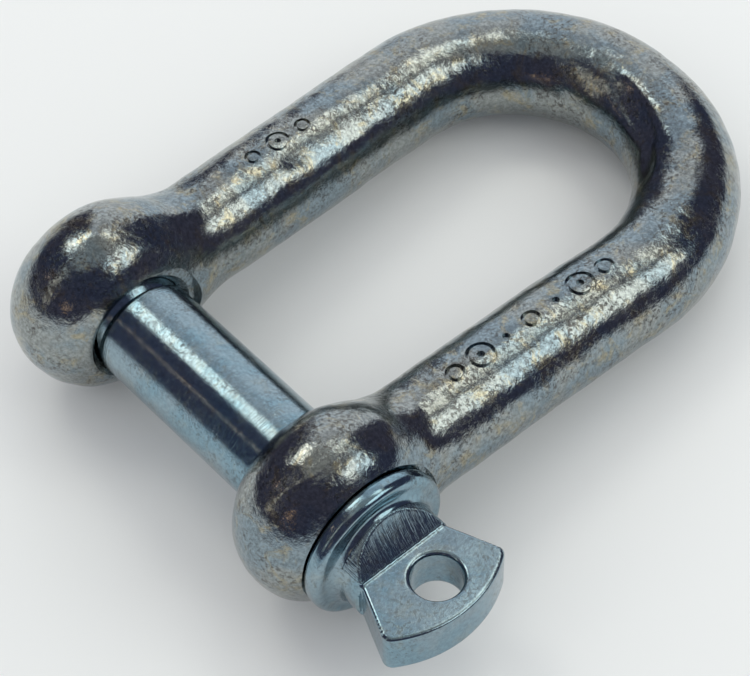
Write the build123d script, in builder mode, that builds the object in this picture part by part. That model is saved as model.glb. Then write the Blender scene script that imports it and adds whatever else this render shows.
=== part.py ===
from build123d import *
import math
import os

# A 12 mm dee shackle: a forged body bent into a long D, and a forged screw collar pin.
# All sizes are in millimetres. The pin lies along X, the D opens along Y, and the D is flat in XY.
# The origin is on the pin's axis, midway between the two ears.

# ---- driving dimensions: forged body ----
rod_dia = 12.0            # round bar that the body is bent from
leg_spacing = 35.5        # between the legs' centre lines, measured at the pin
bow_radius = 18.7         # centre line of the crown
crown_height = 61.3       # pin axis to the centre line of the crown at its top
ear_dia = 21.6            # forged ears, seen along the pin
ear_width = 13.3          # forged ears, measured along the pin before they are faced
ear_outset = 0.5          # the middle of each ear stands this far outside its leg's centre line
neck_blend = 5.0          # forged radius where an ear runs into its leg
cut_margin = 1.0          # every cutter reaches this far past the face it opens

# ---- driving dimensions: machined features of the body ----
jaw_land_dia = 13.36      # flat that is faced on the inside of each ear
seat_land_dia = 16.46     # flat that is faced on the plain ear's outside for the collar
jaw_facing_dia = 15.0     # cutter that faces the inside of each ear
plain_clearance = 0.85    # radial room of the pin in the plain ear
mouth_chamfer = 0.8       # chamfer at the mouths of both bores

# ---- driving dimensions: screw thread ----
thread_pitch = 1.75
thread_depth = 0.95       # depth of the male groove below its crest
thread_relief = 0.2       # how far the male crest stands below the plain shank
thread_clearance = 0.10   # radial room between male crest and female crest
groove_overlap = 0.1      # how far the groove's cutter reaches past the crest
flat_share = 0.16         # width of a crest or a root, as a share of the pitch

# ---- driving dimensions: pin ----
shank_dia = 11.5
thread_show = 1.9         # length of thread that shows in the jaw before the plain shank starts
tip_overhang = 1.2        # the pin's end stands this far out of the threaded ear
tip_chamfer = 1.1
collar_dia = 16.9
collar_thickness = 2.2
collar_rounding = 0.7     # rolled rim of the collar
collar_gap = 0.05         # the pin is screwed home to this gap
collar_overhang = 0.4     # the collar is this much smaller than the cutter that faces its seat
neck_dia = 12.1
neck_fillet = 0.7         # rounding at the foot of the neck
neck_length = 0.9         # round neck outside the collar, before the scoops begin
scoop_radius = 2.5        # concave ramps from the round neck down to the flat tab

# ---- driving dimensions: tab ----
tab_thickness = 5.1
tab_width = 15.8          # across the two corners
root_inset = 0.2          # the tab's root begins this far beyond the neck's foot
tab_root_width = 10.6     # where the straight flanks leave the end of the scoops
corner_reach = 6.1        # scoops' end to the corners
crown_rise = 2.7          # how far the rounded end stands beyond the corners
corner_rounding = 0.8
eye_dia = 5.3             # lanyard hole
eye_reach = 4.2           # scoops' end to the hole's centre
eye_offset = 0.7          # the hole sits this far to the crown's side of the tab's centre line
eye_chamfer = 0.2



def land_offset(land_dia):
    """How far from an ear's middle a facing lies that leaves a flat of this diameter on its round side."""
    edge_r = ear_width / 2
    return math.sqrt(edge_r**2 - (land_dia / 2 - (ear_dia / 2 - edge_r)) ** 2)


# ---- derived sizes ----
rod_r = rod_dia / 2
ear_centre = leg_spacing / 2 + ear_outset
jaw_face = ear_centre - land_offset(jaw_land_dia)
seat_face = ear_centre + land_offset(seat_land_dia)
shank_r = shank_dia / 2
male_crest_r = shank_r - thread_relief
male_root_r = male_crest_r - thread_depth
female_crest_r = male_crest_r + thread_clearance
female_root_r = female_crest_r + thread_depth
plain_bore_r = shank_r + plain_clearance
collar_face = seat_face + collar_gap
collar_end = collar_face + collar_thickness
scoop_start = collar_end + neck_length
shank_start = jaw_face - thread_show
pin_tip = -(ear_centre + ear_width / 2 + tip_overhang)
tab_half = tab_thickness / 2


def bow_tangent():
    """The point where a straight leg meets the crown's arc, and the arc's centre height."""
    arc_centre = crown_height - bow_radius
    half_spacing = leg_spacing / 2
    reach = math.hypot(half_spacing, arc_centre)
    turn = math.acos(bow_radius / reach) - math.atan2(arc_centre, half_spacing)
    return bow_radius * math.cos(turn), arc_centre + bow_radius * math.sin(turn), arc_centre


def thread_profile(crest_r, root_r, first_x, last_x):
    """The half sections of ring grooves at the thread's pitch, between two places on the axis.

    The groove is crest_r at its mouth and root_r at its bottom, so the thread is male where the root
    is the smaller of the two, and female where the root is the larger.
    """
    depth = root_r - crest_r
    overlap = -math.copysign(groove_overlap, depth)
    root_half = flat_share * thread_pitch / 2
    crest_half = thread_pitch / 2 - root_half
    mouth_half = crest_half + (crest_half - root_half) * abs(overlap / depth)
    count = int((last_x - first_x - 2 * mouth_half) / thread_pitch) + 1
    middle = (first_x + last_x) / 2
    with BuildSketch(Plane.XY, mode=Mode.PRIVATE) as grooves:
        with Locations((middle, crest_r)):
            with GridLocations(thread_pitch, 1, count, 1):
                Polygon(
                    (-mouth_half, overlap),
                    (-root_half, depth),
                    (root_half, depth),
                    (mouth_half, overlap),
                    align=None,
                )
    return grooves.sketch


def make_shackle_body():
    """The forged D: one bent bar with two ears, a plain bore and a threaded bore."""
    tangent_x, tangent_y, arc_centre = bow_tangent()
    half_spacing = leg_spacing / 2
    ear_outside = ear_centre + ear_width / 2
    with BuildPart() as shackle_body:
        # The bent bar.
        with BuildLine() as bow_line:
            Line((-half_spacing, 0), (-tangent_x, tangent_y))
            ThreePointArc((-tangent_x, tangent_y), (0, crown_height), (tangent_x, tangent_y))
            Line((tangent_x, tangent_y), (half_spacing, 0))
        with BuildSketch(Plane(origin=bow_line.line @ 0, z_dir=bow_line.line % 0)):
            Circle(rod_r)
        sweep(path=bow_line.line)
        # The ears: thick rounded bosses about the pin's axis.
        for side in (-1, 1):
            with BuildSketch(Plane.XY):
                with Locations((side * ear_centre, 0)):
                    SlotOverall(ear_dia, ear_width, rotation=90)
                    Rectangle(
                        ear_width + cut_margin, ear_dia, align=(Align.CENTER, Align.MAX), mode=Mode.SUBTRACT)
            revolve(axis=Axis.X)
        # The forged blend from each ear into its leg.
        fillet(shackle_body.edges().filter_by(GeomType.BSPLINE), radius=neck_blend)
        # Facing: the inside of both ears, and the collar's seat on the plain ear.
        with BuildSketch(Plane.YZ):
            Circle(jaw_facing_dia / 2)
        extrude(amount=jaw_face, both=True, mode=Mode.SUBTRACT)
        with BuildSketch(Plane.YZ.offset(seat_face)):
            Circle(collar_dia / 2 + collar_overhang)
        extrude(amount=ear_outside - seat_face + cut_margin, mode=Mode.SUBTRACT)
        # The plain bore on the collar's side, and the tapped hole's crest on the other.
        with BuildSketch(Plane.YZ):
            Circle(plain_bore_r)
        extrude(amount=ear_outside + cut_margin, mode=Mode.SUBTRACT)
        with BuildSketch(Plane.YZ):
            Circle(female_crest_r)
        extrude(amount=-ear_outside - cut_margin, mode=Mode.SUBTRACT)
        # Countersunk mouths: each bore widens by the chamfer where it meets a face.
        cones = (
            (jaw_face, plain_bore_r, 1),
            (seat_face, plain_bore_r, -1),
            (-jaw_face, female_crest_r, -1),
            (-ear_outside, female_crest_r, 1),
        )
        for face_x, bore_r, inward in cones:
            with BuildSketch(Plane.XY):
                with BuildLine():
                    Polyline(
                        (face_x + inward * mouth_chamfer, bore_r),
                        (face_x, bore_r + mouth_chamfer),
                        (face_x - inward * mouth_chamfer, bore_r + 2 * mouth_chamfer),
                        (face_x - inward * mouth_chamfer, bore_r),
                        close=True,
                    )
                make_face()
            revolve(axis=Axis.X, mode=Mode.SUBTRACT)
        # The screw thread in the far ear, between the two mouths.
        grooves = thread_profile(
            female_crest_r, female_root_r, mouth_chamfer - ear_outside, -jaw_face - mouth_chamfer)
        revolve(grooves, axis=Axis.X, mode=Mode.SUBTRACT)
    shackle_body.part.label = "shackle_body"
    export_step(shackle_body.part, "parts/shackle_body.step")
    return shackle_body.part


def make_screw_pin():
    """The collar pin: threaded end, plain shank, collar, round neck, and the flat tab with its eye."""
    neck_r = neck_dia / 2
    half_root = tab_root_width / 2
    half_width = tab_width / 2
    tab_start = scoop_start + scoop_radius
    tab_root = collar_end + neck_fillet + root_inset
    corner_x = tab_start + corner_reach
    eye_x = tab_start + eye_reach
    with BuildPart() as screw_pin:
        # Everything turned about the axis, from the tip to the neck.
        with BuildSketch(Plane.XY) as turned:
            with BuildLine():
                Polyline(
                    (tab_start, 0),
                    (pin_tip, 0),
                    (pin_tip, male_crest_r - tip_chamfer),
                    (pin_tip + tip_chamfer, male_crest_r),
                    (-shank_start - thread_relief, male_crest_r),
                    (-shank_start, shank_r),
                    (collar_face, shank_r),
                    (collar_face, collar_dia / 2),
                    (collar_end, collar_dia / 2),
                    (collar_end, neck_r),
                    (tab_start, neck_r),
                    close=True,
                )
            make_face()
            rim = turned.vertices().sort_by(Axis.Y)[-2:]
            fillet(rim, radius=collar_rounding)
            foot = turned.vertices().sort_by_distance((collar_end, neck_r))[0]
            fillet(foot, radius=neck_fillet)
        revolve(axis=Axis.X)
        # The flat tab: straight flanks that spread to two corners, and a rounded end between them.
        with BuildSketch(Plane.XY):
            with BuildLine():
                Line((tab_start, half_root), (corner_x, half_width))
                ThreePointArc((corner_x, half_width), (corner_x + crown_rise, 0), (corner_x, -half_width))
                Line((corner_x, -half_width), (tab_start, -half_root))
                Line((tab_start, -half_root), (tab_root, -half_root))
                Line((tab_root, -half_root), (tab_root, half_root))
                Line((tab_root, half_root), (tab_start, half_root))
            make_face()
        extrude(amount=tab_half, both=True)
        fillet(screw_pin.edges().filter_by(Axis.Z).group_by(Axis.X)[-1], radius=corner_rounding)
        # The two scoops that bring the round neck down to the flat tab.
        for side in (-1, 1):
            with BuildSketch(Plane.XZ):
                with Locations((tab_start, side * (tab_half + scoop_radius))):
                    Circle(scoop_radius)
            extrude(amount=collar_dia, both=True, mode=Mode.SUBTRACT)
        # The lanyard eye, with both rims broken.
        with BuildSketch(Plane.XY):
            with Locations((eye_x, eye_offset)):
                Circle(eye_dia / 2)
        extrude(amount=tab_half, both=True, mode=Mode.SUBTRACT)
        chamfer(screw_pin.edges(Select.LAST).filter_by(GeomType.CIRCLE), length=eye_chamfer)
        # The screw thread, from the tip's chamfer to the plain shank.
        grooves = thread_profile(male_crest_r, male_root_r, pin_tip + tip_chamfer, -shank_start)
        revolve(grooves, axis=Axis.X, mode=Mode.SUBTRACT)
    screw_pin.part.label = "screw_pin"
    export_step(screw_pin.part, "parts/screw_pin.step")
    return screw_pin.part


os.makedirs("parts", exist_ok=True)
make_shackle_body()
make_screw_pin()
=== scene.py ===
"""A zinc-plated dee shackle: a forged body bent from round bar, closed by a forged screw collar pin.

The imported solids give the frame. Two pieces are dressed around them: the forged body with its two ears,
tapped hole and punch marks, and the pin with its thread, collar, ramped neck and flat tab. Pieces are cut
on the bench in millimetres, where the frame's origin is the pin's axis midway between the ears, +X runs
along the pin to the collar, +Y runs to the crown and +Z is square to the dee. A finished piece is scaled
to metres, the unit of the frame.
"""

import logging
import math
from dataclasses import dataclass
from enum import Enum
from typing import Callable, Sequence

import bmesh
import bpy
import numpy as np
from mathutils import Matrix, Vector


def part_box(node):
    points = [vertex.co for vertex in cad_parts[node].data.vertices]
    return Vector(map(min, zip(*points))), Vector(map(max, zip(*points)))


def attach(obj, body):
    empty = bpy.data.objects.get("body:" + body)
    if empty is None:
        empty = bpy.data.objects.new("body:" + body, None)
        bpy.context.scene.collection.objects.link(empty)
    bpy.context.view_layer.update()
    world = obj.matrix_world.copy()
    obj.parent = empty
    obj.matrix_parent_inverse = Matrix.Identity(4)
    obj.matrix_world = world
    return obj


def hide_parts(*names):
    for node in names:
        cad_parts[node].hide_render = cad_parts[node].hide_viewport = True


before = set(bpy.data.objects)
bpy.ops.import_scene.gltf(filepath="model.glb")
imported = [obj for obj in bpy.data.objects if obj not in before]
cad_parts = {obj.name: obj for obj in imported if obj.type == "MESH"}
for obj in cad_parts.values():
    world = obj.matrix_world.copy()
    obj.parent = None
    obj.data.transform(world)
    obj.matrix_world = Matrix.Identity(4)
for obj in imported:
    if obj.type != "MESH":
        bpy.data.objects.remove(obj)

log = logging.getLogger("dee_shackle")

MM = 0.001               # one bench unit in metres
SEED = 12
WELD = 1e-4              # bench points nearer than this are one
CUTTER_SIDES = 160       # facets round a facing cutter
BORE_SIDES = 128         # facets round a bore and round the shank
TARGET_SHARE = 0.38      # radius of the wide ring, as a share of a sign's height
RING_SHARE = 0.24        # radius of the small ring

Field = Callable[[np.ndarray], np.ndarray]
Inputs = dict[str | int, object]
Colour = tuple[float, float, float, float]


class Carve(Enum):
    """How one bench solid is combined with another."""

    CUT = "DIFFERENCE"
    JOIN = "UNION"


class Mark(Enum):
    """The plain signs of the punch rows."""

    TARGET = "a ring with a dot in it"
    RING = "a smaller ring"
    DOT = "a dot"


# ---------------------------------------------------------------------------------------------
# Shape rules: signed distances in millimetres, negative inside the metal
# ---------------------------------------------------------------------------------------------


def soft_min(a: np.ndarray, b: np.ndarray, blend: float) -> np.ndarray:
    """The union of two distances with a forged blend between them.

    Args:
        a: Distances to the first shape.
        b: Distances to the second shape.
        blend: Width of the blend.

    Returns:
        The blended distances.
    """
    share = np.clip(0.5 + 0.5 * (b - a) / blend, 0.0, 1.0)
    return b + (a - b) * share - blend * share * (1.0 - share)


def soft_max(a: np.ndarray, b: np.ndarray, blend: float) -> np.ndarray:
    """The common part of two distances, with its edge rolled over by the blend."""
    return -soft_min(-a, -b, blend)


def rounded_slab(across: np.ndarray, along: np.ndarray, radius: float) -> np.ndarray:
    """The distance to a plate with rolled edges.

    Args:
        across: Distances to the plate's outline.
        along: Distances to the plate's two faces.
        radius: Radius of the rolled edges.

    Returns:
        The distances to the plate.
    """
    u, v = across + radius, along + radius
    return np.minimum(np.maximum(u, v), 0.0) + np.hypot(np.maximum(u, 0.0), np.maximum(v, 0.0)) - radius


def slope_of(rule: Field, points: np.ndarray, step: float = 0.01) -> np.ndarray:
    """The gradient of a distance rule, by central differences.

    Args:
        rule: The distance rule.
        points: Places, one a row.
        step: Half the spacing of the differences.

    Returns:
        One gradient a row.
    """
    slopes = np.empty_like(points)
    for axis in range(3):
        shift = np.zeros(3)
        shift[axis] = step
        slopes[:, axis] = (rule(points + shift) - rule(points - shift)) / (2.0 * step)
    return slopes


def settle(
    rule: Field, points: np.ndarray, passes: int = 4, reach: float = 1.0, flattest: float = 0.05
) -> np.ndarray:
    """Moves points onto the surface of a distance rule.

    Args:
        rule: The distance rule.
        points: Places near the surface, one a row.
        passes: Number of Newton steps.
        reach: The longest step.
        flattest: The least squared slope that a step trusts.

    Returns:
        The moved points.
    """
    for _ in range(passes):
        slopes = slope_of(rule, points)
        size = np.maximum((slopes**2).sum(1), flattest)
        steps = (rule(points) / size)[:, None] * slopes
        length = np.maximum(np.linalg.norm(steps, axis=1, keepdims=True), 1e-9)
        points = points - steps * np.minimum(1.0, reach / length)
    return points


@dataclass(frozen=True)
class Ripple:
    """A shallow unevenness, as a seeded sum of plane waves.

    Attributes:
        shortest: Shortest wave length, in millimetres.
        longest: Longest wave length, in millimetres.
        height: Root mean square height, in millimetres.
        seed: Seed of the waves.
        waves: Number of waves.
    """

    shortest: float
    longest: float
    height: float
    seed: int
    waves: int = 28

    def at(self, points: np.ndarray) -> np.ndarray:
        """The ripple's height at each point.

        Args:
            points: Places, one a row.

        Returns:
            One height a row.
        """
        dice = np.random.default_rng(self.seed)
        total = np.zeros(len(points))
        for _ in range(self.waves):
            heading = dice.normal(size=3)
            heading /= np.linalg.norm(heading)
            length = math.exp(dice.uniform(math.log(self.shortest), math.log(self.longest)))
            total += np.sin(points @ heading * (2.0 * math.pi / length) + dice.uniform(0.0, 2.0 * math.pi))
        return total * self.height * math.sqrt(2.0 / self.waves)


# ---------------------------------------------------------------------------------------------
# The bench: meshes in millimetres
# ---------------------------------------------------------------------------------------------


def bench_object(name: str, mesh: bpy.types.ID) -> bpy.types.Object:
    """Puts a mesh on the bench as an object of its own.

    Args:
        name: Name of the object.
        mesh: Its mesh, or its curve.

    Returns:
        The object.
    """
    made = bpy.data.objects.new(name, mesh)
    bpy.context.scene.collection.objects.link(made)
    return made


def mesh_points(mesh: bpy.types.Mesh) -> np.ndarray:
    """Reads the vertices of a mesh.

    Args:
        mesh: The mesh.

    Returns:
        One vertex a row.
    """
    flat = np.empty(len(mesh.vertices) * 3, np.float32)
    mesh.vertices.foreach_get("co", flat)
    return flat.reshape(-1, 3).astype(float)


def move_points(mesh: bpy.types.Mesh, points: np.ndarray) -> None:
    """Puts the vertices of a mesh at new places."""
    mesh.vertices.foreach_set("co", points.astype(np.float32).ravel())
    mesh.update()


def evaluated_mesh(thing: bpy.types.Object) -> bpy.types.Mesh:
    """The plain mesh that an object's modifiers give."""
    depsgraph = bpy.context.evaluated_depsgraph_get()
    return bpy.data.meshes.new_from_object(thing.evaluated_get(depsgraph), depsgraph=depsgraph)


def scrap(thing: bpy.types.Object) -> None:
    """Takes a used tool or blank off the bench.

    Args:
        thing: The object, which goes with its mesh or curve.
    """
    data = thing.data
    bpy.data.objects.remove(thing)
    (bpy.data.curves if isinstance(data, bpy.types.Curve) else bpy.data.meshes).remove(data)


def heal(mesh: bpy.types.Mesh, gap: float = WELD) -> None:
    """Merges doubles, drops faces with no area and turns every face outwards.

    Args:
        mesh: The mesh to mend.
        gap: Points nearer than this are one.
    """
    work = bmesh.new()
    work.from_mesh(mesh)
    bmesh.ops.remove_doubles(work, verts=work.verts, dist=gap)
    bmesh.ops.dissolve_degenerate(work, dist=gap, edges=work.edges)
    bmesh.ops.recalc_face_normals(work, faces=work.faces)
    work.to_mesh(mesh)
    work.free()


def carve(work: bpy.types.Object, tool: bpy.types.Object, how: Carve) -> None:
    """Cuts a tool's shape out of the work, or joins it on, and uses the tool up.

    Args:
        work: The piece on the bench.
        tool: The closed solid that cuts or joins.
        how: Whether it cuts or joins.
    """
    modifier = work.modifiers.new(how.name, "BOOLEAN")
    modifier.operation = how.value
    modifier.object = tool
    modifier.solver = "EXACT"
    before = work.data
    result = evaluated_mesh(work)
    work.modifiers.clear()
    work.data = result
    bpy.data.meshes.remove(before)
    scrap(tool)


def turned(name: str, outline: Sequence[tuple[float, float]], sides: int) -> bpy.types.Object:
    """A solid turned about the X axis.

    Args:
        name: Name of the object.
        outline: (x, radius) from one end to the other, both ends on the axis.
        sides: Number of facets round the axis.

    Returns:
        The closed solid.
    """
    angles = np.linspace(0.0, 2.0 * math.pi, sides, endpoint=False)
    rings = outline[1:-1]
    points = [(x, r * math.cos(a), r * math.sin(a)) for x, r in rings for a in angles]
    first, last = len(points), len(points) + 1
    points += [(outline[0][0], 0.0, 0.0), (outline[-1][0], 0.0, 0.0)]
    faces: list[tuple[int, ...]] = []
    for ring in range(len(rings) - 1):
        for side in range(sides):
            a, b = ring * sides + side, ring * sides + (side + 1) % sides
            faces.append((a, b, b + sides, a + sides))
    base = (len(rings) - 1) * sides
    for side in range(sides):
        after = (side + 1) % sides
        faces.append((first, after, side))
        faces.append((last, base + side, base + after))
    mesh = bpy.data.meshes.new(name)
    mesh.from_pydata(points, [], faces)
    heal(mesh)
    return bench_object(name, mesh)


def puck(name: str, first: float, last: float, radius: float, sides: int) -> bpy.types.Object:
    """A plain disc or rod about the X axis, from first to last."""
    return turned(name, [(first, 0.0), (first, radius), (last, radius), (last, 0.0)], sides)


def ramp(first: float, last: float, pitch: float) -> list[float]:
    """Evenly spaced places from first to last, no further apart than pitch."""
    return list(np.linspace(first, last, max(2, math.ceil(abs(last - first) / pitch) + 1)))


# ---------------------------------------------------------------------------------------------
# Geometry Nodes trees
# ---------------------------------------------------------------------------------------------


def add_node(
    group: bpy.types.NodeTree, kind: str, inputs: Inputs | None, settings: dict[str, object]
) -> bpy.types.Node:
    """Adds a node to a tree of geometry or shading.

    Args:
        group: The tree.
        kind: The node's type.
        inputs: Values or sockets for its inputs, by name or number.
        settings: Its own properties.

    Returns:
        The node.
    """
    made = group.nodes.new(kind)
    for key, value in settings.items():
        setattr(made, key, value)
    for key, value in (inputs or {}).items():
        if isinstance(value, bpy.types.NodeSocket):
            group.links.new(value, made.inputs[key])
        else:
            made.inputs[key].default_value = value
    return made


class Tree:
    """A Geometry Nodes tree with named inputs, built once and applied to bench objects."""

    def __init__(self, name: str) -> None:
        """Starts an empty tree with a geometry input, a material input and a geometry output.

        Args:
            name: Name of the tree.
        """
        self.group = bpy.data.node_groups.new(name, "GeometryNodeTree")
        face = self.group.interface
        face.new_socket("Geometry", in_out="INPUT", socket_type="NodeSocketGeometry")
        face.new_socket("Finish", in_out="INPUT", socket_type="NodeSocketMaterial")
        face.new_socket("Geometry", in_out="OUTPUT", socket_type="NodeSocketGeometry")
        self.source = self.group.nodes.new("NodeGroupInput")

    def size(self, name: str, whole: bool = False) -> bpy.types.NodeSocket:
        """Adds a named input.

        Args:
            name: The input's name.
            whole: Whether it takes whole numbers.

        Returns:
            Its socket inside the tree.
        """
        kind = "NodeSocketInt" if whole else "NodeSocketFloat"
        self.group.interface.new_socket(name, in_out="INPUT", socket_type=kind)
        return self.source.outputs[name]

    def node(self, kind: str, inputs: Inputs | None = None, **settings: object) -> bpy.types.Node:
        """Adds a node of a kind, with its inputs and its own properties."""
        return add_node(self.group, kind, inputs, settings)

    def math(self, operation: str, a: object, b: object = 0.0) -> bpy.types.NodeSocket:
        """Adds a Math node and gives its result."""
        return self.node("ShaderNodeMath", {0: a, 1: b}, operation=operation).outputs[0]

    def vector(self, x: object, y: object, z: object) -> bpy.types.NodeSocket:
        """Adds a Combine XYZ node and gives its result."""
        return self.node("ShaderNodeCombineXYZ", {0: x, 1: y, 2: z}).outputs[0]

    def join(self, parts: Sequence[bpy.types.NodeSocket]) -> bpy.types.NodeSocket:
        """Joins several shapes.

        Args:
            parts: The shapes.

        Returns:
            All of them as one.
        """
        joined = self.node("GeometryNodeJoinGeometry")
        for part in parts:
            self.group.links.new(part, joined.inputs[0])
        return joined.outputs[0]

    def close(self, geometry: bpy.types.NodeSocket) -> None:
        """Ends the tree in Realize Instances and Set Material.

        Args:
            geometry: The shape that the tree makes.
        """
        real = self.node("GeometryNodeRealizeInstances", {"Geometry": geometry})
        dressed = self.node("GeometryNodeSetMaterial", {
            "Geometry": real.outputs[0], "Material": self.source.outputs["Finish"]})
        self.group.links.new(dressed.outputs[0], self.group.nodes.new("NodeGroupOutput").inputs[0])

    def apply(self, base: bpy.types.Object, sizes: dict[str, object]) -> bpy.types.Mesh:
        """Runs the tree on an object and gives the plain mesh.

        Args:
            base: The object that the tree starts from.
            sizes: A value for each named input.

        Returns:
            The mesh, with nothing live on it.
        """
        modifier = base.modifiers.new(self.group.name, "NODES")
        modifier.node_group = self.group
        for item in self.group.interface.items_tree:
            if item.in_out == "INPUT" and item.name in sizes:
                modifier[item.identifier] = sizes[item.name]
        mesh = evaluated_mesh(base)
        base.modifiers.clear()
        return mesh


def bent_bar_tree() -> Tree:
    """Round bar swept along the curve that it is given.

    Returns:
        The tree, with the bar's radius and its facets as inputs.
    """
    tree = Tree("bent_bar")
    radius, facets = tree.size("Bar Radius"), tree.size("Facets", whole=True)
    path = tree.node("GeometryNodeSetCurveNormal", {"Curve": tree.source.outputs["Geometry"]}, mode="Z_UP")
    section = tree.node("GeometryNodeCurvePrimitiveCircle", {"Resolution": facets, "Radius": radius})
    bar = tree.node(
        "GeometryNodeCurveToMesh",
        {"Curve": path.outputs[0], "Profile Curve": section.outputs[0], "Fill Caps": True})
    tree.close(bar.outputs[0])
    return tree


def screw_groove_tree() -> Tree:
    """The cutter of a right-hand screw groove about the Z axis, whose ends run out of the metal.

    Returns:
        The tree, with the groove's pitch, turns, section and run-out as inputs.
    """
    tree = Tree("screw_groove")
    pitch, turns = tree.size("Pitch"), tree.size("Turns")
    middle, depth = tree.size("Middle Radius"), tree.size("Groove Height")
    wide, narrow = tree.size("Crest Side Width"), tree.size("Root Side Width")
    runout, lift = tree.size("Run-out Share"), tree.size("Run-out Lift")
    facets = tree.size("Facets per Turn", whole=True)
    helix = tree.node("GeometryNodeCurveSpiral", {
        "Resolution": facets, "Rotations": turns, "Start Radius": middle, "End Radius": middle,
        "Height": tree.math("MULTIPLY", pitch, turns)})
    place = tree.node("ShaderNodeSeparateXYZ", {0: tree.node("GeometryNodeInputPosition").outputs[0]})
    outward = tree.node(
        "ShaderNodeVectorMath",
        {0: tree.vector(place.outputs[0], place.outputs[1], 0.0)}, operation="NORMALIZE").outputs[0]
    along = tree.node("GeometryNodeSplineParameter").outputs["Factor"]
    near_start = tree.node("ShaderNodeMapRange", {
        "Value": along, "From Min": 0.0, "From Max": runout, "To Min": 1.0, "To Max": 0.0}).outputs[0]
    near_end = tree.node("ShaderNodeMapRange", {
        "Value": along, "From Min": tree.math("SUBTRACT", 1.0, runout), "From Max": 1.0,
        "To Min": 0.0, "To Max": 1.0}).outputs[0]
    rise = tree.math("MULTIPLY", tree.math("MAXIMUM", near_start, near_end), lift)
    shift = tree.node("ShaderNodeVectorMath", {0: outward, "Scale": rise}, operation="SCALE").outputs[0]
    lifted = tree.node("GeometryNodeSetPosition", {"Geometry": helix.outputs[0], "Offset": shift})
    path = tree.node("GeometryNodeSetCurveNormal", {"Curve": lifted.outputs[0]}, mode="Z_UP")
    section = tree.node(
        "GeometryNodeCurvePrimitiveQuadrilateral",
        {"Height": depth, "Bottom Width": wide, "Top Width": narrow}, mode="TRAPEZOID")
    turned_section = tree.node(
        "GeometryNodeTransform", {"Geometry": section.outputs[0], "Rotation": (0.0, 0.0, math.pi / 2)})
    groove = tree.node(
        "GeometryNodeCurveToMesh",
        {"Curve": path.outputs[0], "Profile Curve": turned_section.outputs[0], "Fill Caps": True})
    tree.close(groove.outputs[0])
    return tree


def punch_row_tree(pattern: Sequence[Mark]) -> Tree:
    """A row of plain punch signs along Y, wrapped round the top of a bar that lies along Y.

    Args:
        pattern: The signs in order.

    Returns:
        The tree, with the row's start and spacing, the signs' height, stroke and depth and the bar's radius
        as inputs.
    """
    tree = Tree("punch_row")
    spacing, height = tree.size("Spacing"), tree.size("Sign Height")
    stroke, depth = tree.size("Stroke"), tree.size("Strike Depth")
    bar_radius, start = tree.size("Bar Radius"), tree.size("Start")
    both_ways = tree.math("MULTIPLY", depth, 2.0)
    outline = tree.node("GeometryNodeCurvePrimitiveQuadrilateral", {"Width": stroke, "Height": both_ways})
    dot = tree.node("GeometryNodeMeshCylinder", {
        "Vertices": 16, "Radius": stroke, "Depth": both_ways}).outputs[0]
    wide, small = (
        tree.node("GeometryNodeCurveToMesh", {
            "Curve": tree.node("GeometryNodeCurvePrimitiveCircle", {
                "Resolution": 40, "Radius": tree.math("MULTIPLY", height, share)}).outputs[0],
            "Profile Curve": outline.outputs[0]}).outputs[0]
        for share in (TARGET_SHARE, RING_SHARE))
    signs = {Mark.TARGET: tree.join((wide, dot)), Mark.RING: small, Mark.DOT: dot}
    struck = []
    for slot, mark in enumerate(pattern):
        along = tree.math("ADD", start, tree.math("MULTIPLY", spacing, float(slot)))
        struck.append(tree.node("GeometryNodeTransform", {
            "Geometry": signs[mark], "Translation": tree.vector(0.0, along, 0.0)}).outputs[0])
    joined = tree.join(struck)
    spot = tree.node("ShaderNodeSeparateXYZ", {0: tree.node("GeometryNodeInputPosition").outputs[0]})
    angle = tree.math("DIVIDE", spot.outputs[0], bar_radius)
    far = tree.math("ADD", spot.outputs[2], bar_radius)
    wrapped = tree.vector(
        tree.math("MULTIPLY", far, tree.math("SINE", angle)), spot.outputs[1],
        tree.math("MULTIPLY", far, tree.math("COSINE", angle)))
    bent = tree.node("GeometryNodeSetPosition", {"Geometry": joined, "Position": wrapped})
    tree.close(bent.outputs[0])
    return tree


# ---------------------------------------------------------------------------------------------
# Finishes
# ---------------------------------------------------------------------------------------------


@dataclass(frozen=True)
class ToolMarks:
    """Fine parallel marks that a tool leaves on one stretch of a piece. Lengths are in millimetres.

    Attributes:
        first: Where the stretch starts along X.
        last: Where it ends.
        above: The marks lie at least this far from the plane Z = 0.
        below: And at most this far.
        grain: Size of the marks along X, Y and Z.
        depth: Their depth.
        fade: How far they take to fade at the stretch's ends.
    """

    first: float
    last: float
    above: float
    below: float
    grain: tuple[float, float, float]
    depth: float
    fade: float = 0.1


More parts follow.
